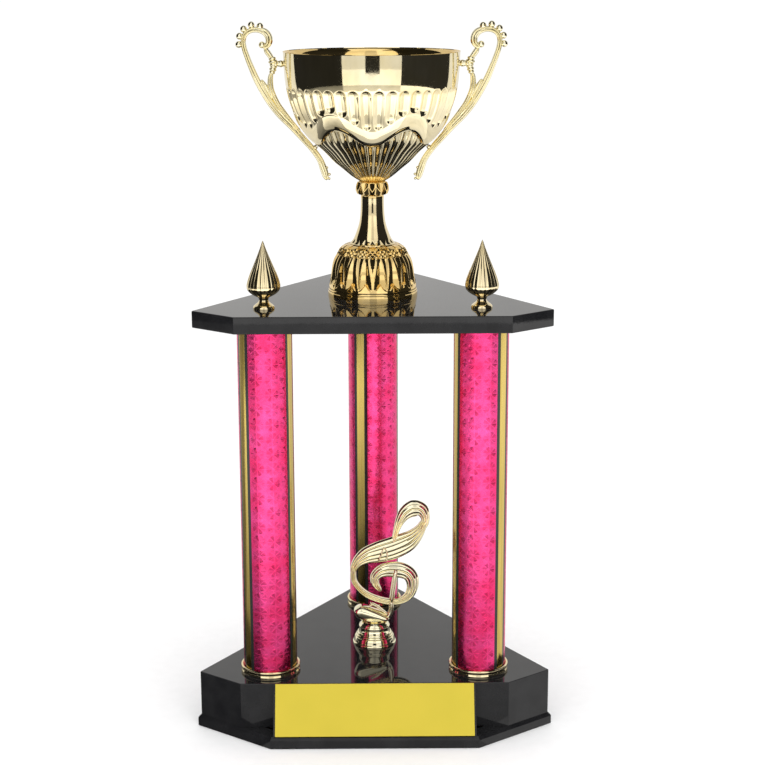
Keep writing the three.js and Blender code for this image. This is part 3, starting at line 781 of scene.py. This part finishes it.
def bowl_rows(angle):
    """Heights of the bowl's rows at each angle, so that the rows follow the waves of the swag."""
    low = SWAG_BOTTOM[0] - SWAG_BOTTOM[1] * np.cos(SWAGS * angle)
    high = SWAG_TOP[0] - SWAG_TOP[1] * np.cos(SWAGS * angle)
    start, stop = BOWL[0][1], BOWL[-1][1]
    foot, head, flute_end = low - SWAG_EDGE[0], low + SWAG_EDGE[1], FLUTE_TOP + FLUTE_MARGIN
    marks = [(start, foot, 46), (foot, head, 7), (head, high, 18), (high, flute_end, 46),
             (flute_end, stop, 14)]
    rows = [a + (b - a) * t for a, b, count in marks for t in np.linspace(0, 1, count, endpoint=False)]
    return np.array([np.broadcast_to(row, angle.shape) for row in [*rows, stop]]), low


def bowl_relief(z, low, angle, radius):
    """How far the ornament stands out of the plain bowl, along its normal."""
    across, middle = across_flutes(angle, BOWL_FLUTES, FLUTE_TURN)
    flute_low = SWAG_TOP[0] - SWAG_TOP[1] * np.cos(SWAGS * middle) + FLUTE_MARGIN
    near = np.minimum(FLUTE_TOP - z, z - flute_low)
    end = np.sqrt(1 - (1 - np.clip(near / FLUTE_END, 0, 1)) ** 2)
    half = np.maximum(FLUTE_HALF * end, 1e-6)
    scoop = np.clip(1 - (across / half) ** 2, 0, 1)
    relief = -FLUTE_DEPTH * scoop * end ** 1.5
    high = SWAG_TOP[0] - SWAG_TOP[1] * np.cos(SWAGS * angle)
    puff = np.clip((z - low) / (high - low), 0, 1)
    relief += SWAG_PUFF * np.sin(np.pi * puff ** 0.7) ** 0.8
    inside = 1 - smooth_step((z - low + 1.0) / 1.4)
    ridge = np.abs(2 * across_flutes(angle, GADROONS, GADROON_TURN)[0])
    depth = GADROON_DEPTH * np.clip(radius / 55, 0.12, 1)
    relief -= inside * (GADROON_RECESS * np.clip(radius / 40, 0.2, 1) + depth * (1 - ridge ** 3))
    return relief


def inner_side(profile, wall):
    """A profile moved inwards by the wall, from its last row to its first."""
    profile = np.asarray(profile, float)
    slope = np.gradient(profile, axis=0)
    slope /= np.linalg.norm(slope, axis=1)[:, None]
    return (profile + wall * np.column_stack([-slope[:, 1], slope[:, 0]]))[::-1]


def build_bowl(outer_gold_and_painted_shade_gold):
    angle = azimuth(BOWL_COLUMNS)
    fine = smooth_line(BOWL, 400)
    z, low = bowl_rows(angle)
    radius = np.interp(z, fine[:, 1], fine[:, 0])
    slope = np.interp(z, fine[:, 1], np.gradient(fine[:, 0], fine[:, 1]))
    out, up = 1 / np.hypot(1, slope), -slope / np.hypot(1, slope)
    relief = bowl_relief(z, low, angle, radius)
    outside = rings_of(radius + relief * out, z + relief * up, BOWL_COLUMNS, CUP)
    rim = [(72.9, 200.95), (72.3, 200.5)]
    start = [(STUD_HOLE, BOWL[0][1])]
    inner = inner_side(smooth_line(BOWL, 40), CUP_WALL + 1.2)
    inner = [row for row in inner if BOWL[0][1] + 6 < row[1] < BOWL[-1][1] - 3]
    floor = BOWL[0][1] + 2 * CUP_WALL
    rest = np.array([*rim, *inner, (12.8, floor + 1.6), (10.8, floor), (STUD_HOLE, floor)])
    rings = np.concatenate([
        rings_of(np.array(start)[:, :1], np.array(start)[:, 1:], BOWL_COLUMNS, CUP), outside,
        rings_of(rest[:, :1], rest[:, 1:], BOWL_COLUMNS, CUP),
    ])
    mesh = mesh_of("cup_bowl", skin(rings, ends="loop"))
    # Painted shade: faces that look towards the axis, the bowl's inside, take the deeper gold, though the
    # plating is the same as outside.
    for face in mesh.polygons:
        face.material_index = int(face.normal.xy.dot(face.center.xy - CUP.xy) < 0)
    add_piece("cup_bowl_fluted", mesh, outer_gold_and_painted_shade_gold, ["cup_bowl"], 55)


FOOT = [
    (37.75, 0), (37.65, 2.5), (37.15, 5), (36.6, 8), (35.8, 12.5), (35.1, 17), (34.5, 22), (33.6, 26.5),
]
FOOT_TOP = [
    (33.6, 26.5), (32.2, 30.2), (29.4, 34.8), (27.4, 37.9), (25.2, 40.6), (22.6, 42.2), (19.75, 42.5),
]
FOOT_CUTS = 18
FOOT_COLUMNS = FOOT_CUTS * 32
FOOT_GROOVES = ((3.4, 0.45, 0.45), (5.4, 0.4, 0.3))     # height, width and depth
CUT_TOP = 34.6               # the wedge facets
CUT_BOTTOM = 8.5
CUT_DEPTH = 2.6
CUT_ARCH = 5.5               # how much higher a facet's foot is half way between two facets
CUT_TAPER = 0.75
SPLIT_DEPTH = 0.8            # the notch in a facet's middle, as a share of CUT_DEPTH
SPLIT_WIDTH = 0.45
SPLIT_TAPER = 0.35
LATTICE = (34.2, 39.8)       # the band of pyramids, from and to
LATTICE_CELLS = 48
LATTICE_ROWS = 1.5
LATTICE_DEPTH = 1.0
LATTICE_LEVEL = 0.35         # share of the depth that lies under the plain surface


def zigzag(t):
    """A triangle wave: 0 at whole numbers and 1 half way between them."""
    return 2 * np.abs(t - np.round(t))


def foot_relief(z, angle):
    """Tall wedge facets with pointed tops and arched feet, under a band of small pyramids."""
    across = zigzag(angle * FOOT_CUTS / (2 * math.pi))
    arch = CUT_BOTTOM + CUT_ARCH * across**2
    height = np.clip((CUT_TOP - z) / (CUT_TOP - CUT_BOTTOM), 0, 1)
    fade = smooth_step((z - arch + 1.0) / 1.2)
    groove = CUT_DEPTH * np.clip(across - (1 - height) * CUT_TAPER, 0, 1) * fade
    split = np.clip(SPLIT_WIDTH - across - SPLIT_TAPER * height, 0, 1)
    middle = SPLIT_DEPTH * CUT_DEPTH * split * fade * (z < CUT_TOP)
    turn = angle * LATTICE_CELLS / (2 * math.pi)
    rise = (z - LATTICE[0]) / (LATTICE[1] - LATTICE[0])
    inside = (rise > 0) & (rise < 1)
    up = LATTICE_ROWS * rise
    pyramid = np.minimum(zigzag(turn + up), zigzag(turn - up))
    return -groove - middle + inside * LATTICE_DEPTH * (pyramid - LATTICE_LEVEL)


def build_foot(gold):
    angle = azimuth(FOOT_COLUMNS)
    lower = smooth_line(FOOT, 60)
    upper = smooth_line(FOOT_TOP, 56)[1:]
    profile = np.vstack([lower, upper])
    slope = np.gradient(profile, axis=0)
    slope /= np.linalg.norm(slope, axis=1)[:, None]
    z = np.broadcast_to(profile[:, 1:2], (len(profile), FOOT_COLUMNS))
    relief = foot_relief(z, angle)
    for middle, width, depth in FOOT_GROOVES:
        relief = relief - depth * np.exp(-((profile[:, 1:2] - middle) / width) ** 2)
    radius = profile[:, :1] + relief * slope[:, 1:2]
    height = profile[:, 1:2] - relief * slope[:, :1]
    outside = rings_of(radius, height, FOOT_COLUMNS, CUP)
    ceiling = FOOT_TOP[-1][1] - 2 * CUP_WALL
    inner = [row for row in inner_side(profile[::8], 3 * CUP_WALL) if 1 < row[1] < ceiling - 1]
    rest = np.array([(STUD_HOLE, FOOT_TOP[-1][1]), (STUD_HOLE, ceiling), (20, ceiling), *inner, (34.5, 0)])
    rings = np.concatenate([outside, rings_of(rest[:, :1], rest[:, 1:], FOOT_COLUMNS, CUP)])
    mesh = mesh_of("cup_foot", skin(rings, ends="loop"))
    add_piece("cup_foot_cut", mesh, gold, ["cup_foot"], 28)


STEM = [
    (18.9, 43), (16.2, 46.2), (13.3, 53), (11.1, 60), (10.1, 67), (9.7, 75), (9.65, 81.25),
]
STEM_POINTS = 16
LEAF_FOOT = 43               # the pointed leaves round the stem's foot
LEAF_LENGTH = 4.4
LEAF_DEPTH = 1.3
COLLAR = [
    (9.65, 81.25), (9.7, 83.4), (11.3, 84.2), (12.8, 86.6), (13.6, 89.8), (13.2, 92.4), (12.1, 94.2),
    (10.85, 95),
]
COLLAR_POINTS = 12
BELT_RIDGE = (87.4, 4)       # lowest height and rise of the collar's zigzag ridge
BELT_RADIUS = 13.9
BELT_SLOPE = 0.42            # how fast the radius falls away from the ridge


def bored(radius, z, columns):
    """A turned skin with the cup's stud hole through it."""
    hole = np.full((1, columns), STUD_HOLE)
    heights = np.concatenate([z[:1], z, z[-1:]])
    return skin(rings_of(np.concatenate([hole, radius, hole]), heights, columns, CUP), ends="loop")


def build_stem(gold):
    columns = STEM_POINTS * 16
    profile = np.vstack([[(18.9, 42.5)], smooth_line(STEM, 70)])
    z = profile[:, 1:2]
    across = zigzag(azimuth(columns) * STEM_POINTS / (2 * math.pi))
    leaf = np.clip(1 - (z - LEAF_FOOT - 0.2) / LEAF_LENGTH, 0, 1)
    inside = smooth_step((z - LEAF_FOOT) / 0.6)
    radius = profile[:, :1] - LEAF_DEPTH * inside * np.clip(leaf - across, 0, 1)
    mesh = mesh_of("cup_stem", bored(radius, z, columns))
    add_piece("cup_stem_turned", mesh, gold, ["cup_stem"], 30)


def build_collar(gold):
    columns = COLLAR_POINTS * 20
    profile = smooth_line(COLLAR, 44)
    z = profile[:, 1:2]
    across = zigzag(azimuth(columns) * COLLAR_POINTS / (2 * math.pi))
    low, high = profile[0, 1], profile[-1, 1]
    ridge = BELT_RIDGE[0] + BELT_RIDGE[1] * across
    belt = smooth_step((z - low - 2.6) / 0.6) * smooth_step((high - 0.4 - z) / 0.6)
    radius = profile[:, :1] * (1 - belt) + belt * (BELT_RADIUS - BELT_SLOPE * np.abs(z - ridge))
    mesh = mesh_of("cup_collar", bored(radius, z, columns))
    add_piece("cup_collar_cut", mesh, gold, ["cup_collar"], 30)


# ---------------------------------------------------------------- cast ribbons

def ribbon(points, thick, samples, ribs=1, groove=0.0, ends=(1.0, 1.0), sides=44, datum=(0, 0, 0), mirror=1):
    """A flat cast strand through [x, z, width] rows in an upright plane, with grooves along it.

    ribs is the number of raised lines across the width, groove how deep the lines between them are as
    a share of the thickness, and ends the length over which each end rounds off, in widths.
    """
    line = smooth_line(points, samples)
    along = np.gradient(line[:, :2], axis=0)
    along /= np.linalg.norm(along, axis=1)[:, None]
    travel = np.concatenate([[0], np.cumsum(np.linalg.norm(np.diff(line[:, :2], axis=0), axis=1))])
    first = np.clip(travel / (ends[0] * line[0, 2]), 0, 1)
    last = np.clip((travel[-1] - travel) / (ends[1] * line[-1, 2]), 0, 1)
    fade = np.sqrt((1 - (1 - first) ** 2) * (1 - (1 - last) ** 2))
    turn = np.linspace(-np.pi / 2, np.pi / 2, sides // 2 + 1)
    u = np.sin(turn)
    body = (1 - np.abs(u) ** 2.6) ** (1 / 2.2)
    rib = np.abs(np.sin(np.pi * ribs * (u + 1) / 2)) ** 0.75
    v = body * (1 - groove * (1 - rib) * (np.abs(u) < 0.999))
    u = np.concatenate([u, u[-2:0:-1]])
    v = np.concatenate([v, -v[-2:0:-1]])
    half = line[:, 2:3] * fade[:, None] / 2
    depth = thick / 2 * np.sqrt(fade)[:, None] * np.minimum(1, 0.45 + line[:, 2:3] / 8)
    x = line[:, :1] - along[:, 1:] * half * u
    z = line[:, 1:2] + along[:, :1] * half * u
    rings = np.stack([mirror * x, depth * v, z], axis=-1) * MM + np.array(datum)
    return skin(rings)


def ball(centre, radius, datum, mirror=1):
    """A small cast bead in the same plane as the ribbons."""
    turn = np.linspace(0, np.pi, 13)
    rows = np.column_stack([radius * np.sin(turn), -radius * np.cos(turn)])
    place = Vector(datum) + Vector((mirror * centre[0], 0, centre[1])) * MM
    return turned(rows, 20, place)


def beads_along(start, stop, radii, datum, mirror=1, columns=24):
    """Round ridges one after the other on a straight line in the ribbons' plane."""
    a, b = (Vector((mirror * p[0], 0, p[1])) for p in (start, stop))
    along = (b - a).normalized()
    length = (b - a).length
    rows = [(0, 0)]
    step = length / len(radii)
    for i, radius in enumerate(radii):
        for t in np.linspace(0.06, 0.94, 9):
            rows.append((radius * (0.68 + 0.32 * math.sin(math.pi * t) ** 0.6), (i + t) * step))
    rows.append((0, length))
    rows = np.array(rows)
    side = Vector((0, 1, 0))
    other = along.cross(side)
    angle = azimuth(columns)
    rings = []
    for radius, travel in rows:
        centre = a + along * travel
        rings.append([centre + (side * math.cos(t) + other * math.sin(t)) * radius for t in angle])
    return skin(np.array([[tuple(p) for p in ring] for ring in rings]) * MM + np.array(datum))


HANDLE_BAND = [
    (37.75, 95.6, 4.2), (38.94, 100.44, 6), (40.52, 105.39, 6.2), (43.39, 112.8, 5.4),
    (49.42, 121.49, 5.2), (57.82, 130.98, 5.6), (66.22, 140.22, 6), (75.11, 149.27, 6.4),
    (82.43, 158.16, 6.2), (88.85, 168.14, 5.9), (94.28, 178.03, 5.6), (98.53, 187.91, 5.1),
    (101.89, 196.8, 4.8), (104.07, 203.72, 4.6), (104.76, 209.26, 4.6), (103.77, 213.8, 4.6),
    (100.81, 216.97, 4.6), (95.87, 218.55, 4.8), (90.53, 218.15, 5.4), (86.08, 215.88, 6.2),
    (83.71, 211.43, 6.2), (84.3, 207.28, 5.4), (86.97, 204.81, 4.4), (89.44, 205.9, 3.6),
]
HANDLE_STEM = [
    (87.37, 204.51, 4.4), (85.98, 201.75, 4.9), (84.11, 198.98, 4.9), (82.13, 196.21, 4.4),
    (80.84, 194.04, 3.6),
]
HANDLE_INNER = [
    (81.63, 184.55, 3.2), (82.92, 180.99, 4.4), (83.31, 176.05, 4.9), (82.72, 170.71, 4.8),
    (80.65, 165.18, 4.4), (76.99, 158.26, 3.8), (72.15, 151.74, 3.4), (65.72, 143.44, 3.2),
    (59.3, 135.92, 2.6),
]
HANDLE_LEAF = [
    (90.33, 178.62, 1.6), (89.34, 176.05, 3.4), (87.56, 172.49, 4.6), (85.19, 167.75, 4.2),
    (82.43, 162.21, 2.8),
]
HANDLE_BEADS = [
    (108.52, 206.69), (107.82, 213.41), (104.37, 219.14), (98.04, 222.4), (90.92, 221.41),
]
BEAD_RADIUS = 2.85
TIP_BEADS = [
    (40.52, 103.51), (37.56, 106.08), (35.48, 100.54), (35.78, 96.98),
]
VOLUTE_BALL = (89.54, 206.39)
RIM_BALL = (74.4, 191.12)
KNUCKLE_UPPER = ((81.63, 196.61), (80.25, 189.29))
KNUCKLE_LOWER = ((80.15, 190.08), (81.93, 182.97))
UPPER_BOSS = ((79.56, 191.12), (72.75, 191.12))
LOWER_BOSS = ((50.16, 119.47), (46.06, 123.97))


def build_handle(side, name, gold):
    where = {"datum": CUP, "mirror": side}
    skins = [
        ribbon(HANDLE_BAND, 6.0, 260, ribs=3, groove=0.45, **where),
        ribbon(HANDLE_INNER, 5.2, 110, ribs=2, groove=0.42, **where),
        ribbon(HANDLE_STEM, 5.4, 60, ribs=2, groove=0.45, **where),
        ribbon(HANDLE_LEAF, 4.4, 60, ribs=2, groove=0.4, **where),
        ball(VOLUTE_BALL, 2.8, **where),
        ball(RIM_BALL, 2.9, **where),
        beads_along(*KNUCKLE_UPPER, (3.1, 3.9, 3.3), **where),
        beads_along(*KNUCKLE_LOWER, (3.0, 3.1, 2.5), **where),
        beads_along(*UPPER_BOSS, (3.1, 2.5, 2.3), **where),
        beads_along(*LOWER_BOSS, (2.3, 2.0), **where),
    ]
    skins += [ball(place, BEAD_RADIUS, **where) for place in HANDLE_BEADS]
    skins += [ball(place, 1.15, **where) for place in TIP_BEADS]
    mesh = united(f"handle_{name}", skins)
    add_piece(f"cup_handle_{name}_cast", mesh, gold, [f"cup_handle_{name}"], 50)


# ---------------------------------------------------------------- treble-clef figure

FIGURE = axis_of("figure_pedestal", BASE_TOP)
PEDESTAL = [
    [(19, 0), (19, 0.9), (18.75, 1.6), (18.1, 2.3)], [(18.1, 2.4), (17.3, 5.2), (16.9, 6.2)],
    [(16.2, 6.4), (16.2, 7.4), (15.8, 8.0)], [(15.2, 8.1), (15.1, 9.2), (14.7, 9.9)],
    [(14.0, 10.0), (13.4, 12.4), (13.2, 14.4)], [(13.5, 14.5), (13.5, 15.6), (13.0, 16.6)],
    [(12.6, 16.7), (12.0, 17.8), (11.2, 18.75)],
]
CLEF_LOOP = [
    (17, 86.5, 4.4), (17.2, 91, 4.6), (18.2, 96.5, 4.9), (20.1, 104, 6.0), (23.1, 111.6, 8.8),
    (27.8, 118.3, 12.6), (34.6, 122.0, 15.0), (41.2, 120.6, 12.6), (44.4, 114.4, 8.4), (44.1, 108, 7.2),
    (42.6, 103.5, 7.0),
]
CLEF_BAND = [
    (44.5, 112.4, 6.0), (41.1, 104.6, 8.8), (36.2, 98, 13.2), (29.5, 92.2, 18), (16, 85.9, 20.4),
    (3, 82.25, 18.6), (-6.5, 79.25, 15), (-13.6, 74.3, 10.2), (-17.4, 68.4, 6.6), (-18.2, 63, 5.5),
]
CLEF_BOWL = [
    (-17.6, 69, 5.2), (-18.2, 62, 5.2), (-17.4, 56.2, 5.2), (-14, 50.4, 5.2), (-7, 44, 5.4),
    (1.5, 39.9, 5.4), (11, 37.3, 5.4), (19.25, 37, 5.6), (26, 39, 6.8), (30.9, 43.4, 8.4), (33.4, 50, 10),
    (33.4, 56.6, 11.6), (30.6, 62, 12.8), (25.75, 65, 14), (19, 66.3, 14.6), (11, 66.2, 13),
    (4.6, 63.8, 10.6), (0.9, 59.4, 8.8), (0.8, 54.6, 7), (3.2, 50.2, 5), (6.2, 46.6, 2.6),
]
CLEF_STEM = [(14.9, 36, 4.2), (16.2, 47, 4.4), (17.8, 58, 4.4), (19.2, 68, 3.8)]
CLEF_HOOK = [
    (14.9, 40, 4.2), (14.9, 33, 4.4), (14.2, 27, 4.6), (12, 23.4, 4.6), (8.6, 22.2, 4.2), (4, 22.8, 3.6),
]
CLEF_DROP = [
    (-17.8, 29.8, 7.5), (-14.4, 28.8, 11.8), (-9, 27.0, 13.6), (-2.8, 25.2, 12.4), (3.8, 23.6, 9.8),
    (9.4, 22.4, 6.6), (13.4, 22.4, 4.4),
]
CLEF_SLIP = [(-3.6, 35.8, 1.8), (1.4, 33.2, 2.1), (6.4, 29.2, 2.1), (11, 25.4, 1.9), (14, 23.4, 1.6)]
CLEF_PINS = [
    ((8.6, 88.6, 1.7), (6.6, 82, 1.9), (3.6, 74.6, 2.1)),
    ((8.8, 88.2, 1.7), (11.4, 81.4, 1.9), (10.4, 74, 2.1)),
]
PEDESTAL_BORE = 2.3


def build_figure(gold):
    node = "figure_pedestal"
    rows = [row for part in PEDESTAL for row in smooth_line(part, 8)]
    profile = [(PEDESTAL_BORE, 0), *rows, (PEDESTAL_BORE, PEDESTAL[-1][-1][1])]
    mesh = mesh_of(node, turned(profile, 128, FIGURE, ends="loop"))
    add_piece("figure_pedestal_turned", mesh, gold, [node], 35)

    where = {"datum": FIGURE}
    skins = [
        ribbon(CLEF_BAND, 7.6, 150, ribs=5, groove=0.3, sides=88, **where),
        ribbon(CLEF_LOOP, 6.4, 130, ribs=4, groove=0.3, sides=80, **where),
        ribbon(CLEF_BOWL, 7.0, 240, ribs=4, groove=0.3, sides=80, **where),
        ribbon(CLEF_STEM, 10.4, 60, ribs=1, **where),
        ribbon(CLEF_HOOK, 8.0, 60, ribs=1, **where),
        ribbon(CLEF_DROP, 15, 90, ribs=1, sides=60, ends=(0.9, 1.0), **where),
        ribbon(CLEF_SLIP, 6.0, 50, ribs=1, **where),
        beads_along((0, 22.3), (0, 18.9), (10.4, 11.2), **where, columns=72),
    ]
    skins += [ribbon(row, 13.0, 30, ribs=1, **where) for row in CLEF_PINS]
    mesh = united("clef", skins)
    add_piece("figure_clef_cast", mesh, gold, ["figure_clef"], 45)


# ---------------------------------------------------------------- carried-over pieces

def dress_nodes():
    """Materials for the CAD nodes that stay: the pieces inside the base, the columns and the cup."""
    steel, board, iron, plastic = steel_material(), board_material(), iron_material(), plastic_material()
    finishes = {"base_bottom_cover": board, "base_weight": iron}
    for name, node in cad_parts.items():
        finish = finishes.get(name, plastic if name.startswith("column_plug") else steel)
        node.data.materials.clear()
        node.data.materials.append(finish)


# ---------------------------------------------------------------- the trophy

def build():
    add_camera()
    add_stage()
    light_scene()
    dress_nodes()
    champagne = gold_material("champagne_gold_plating", (0.93, 0.80, 0.52), (0.88, 0.73, 0.42), 0.07, 0.02)
    pale = gold_material("pale_gold_plating", (0.98, 0.92, 0.68), (0.95, 0.87, 0.60), 0.08, 0.02)
    bowl_gold = gold_material("bowl_gold_plating", (0.94, 0.84, 0.58), (0.90, 0.78, 0.48), 0.05, 0.01)
    deep = gold_material("deep_gold_plating", (0.93, 0.70, 0.32), (0.86, 0.60, 0.22), 0.06, 0.01)
    black = lacquer_material()
    build_boards(black, nameplate_material())
    finishes = [
        foil_material(),
        stripe_material("black_stripe_print", (0.010, 0.012, 0.011), (0.022, 0.024, 0.022), 0.0, 0.16),
        stripe_material("gold_stripe_foil", (0.62, 0.45, 0.11), (0.74, 0.57, 0.18), 1.0, 0.16),
    ]
    for side in SIDES:
        build_column(side, finishes)
        build_ring(side, champagne)
        build_finial(side, champagne)
    build_foot(deep)
    build_stem(champagne)
    build_collar(deep)
    # The second gold goes on the bowl's inside as painted shade.
    build_bowl([bowl_gold, deep])
    build_handle(-1, "left", pale)
    build_handle(1, "right", pale)
    build_figure(pale)


build()
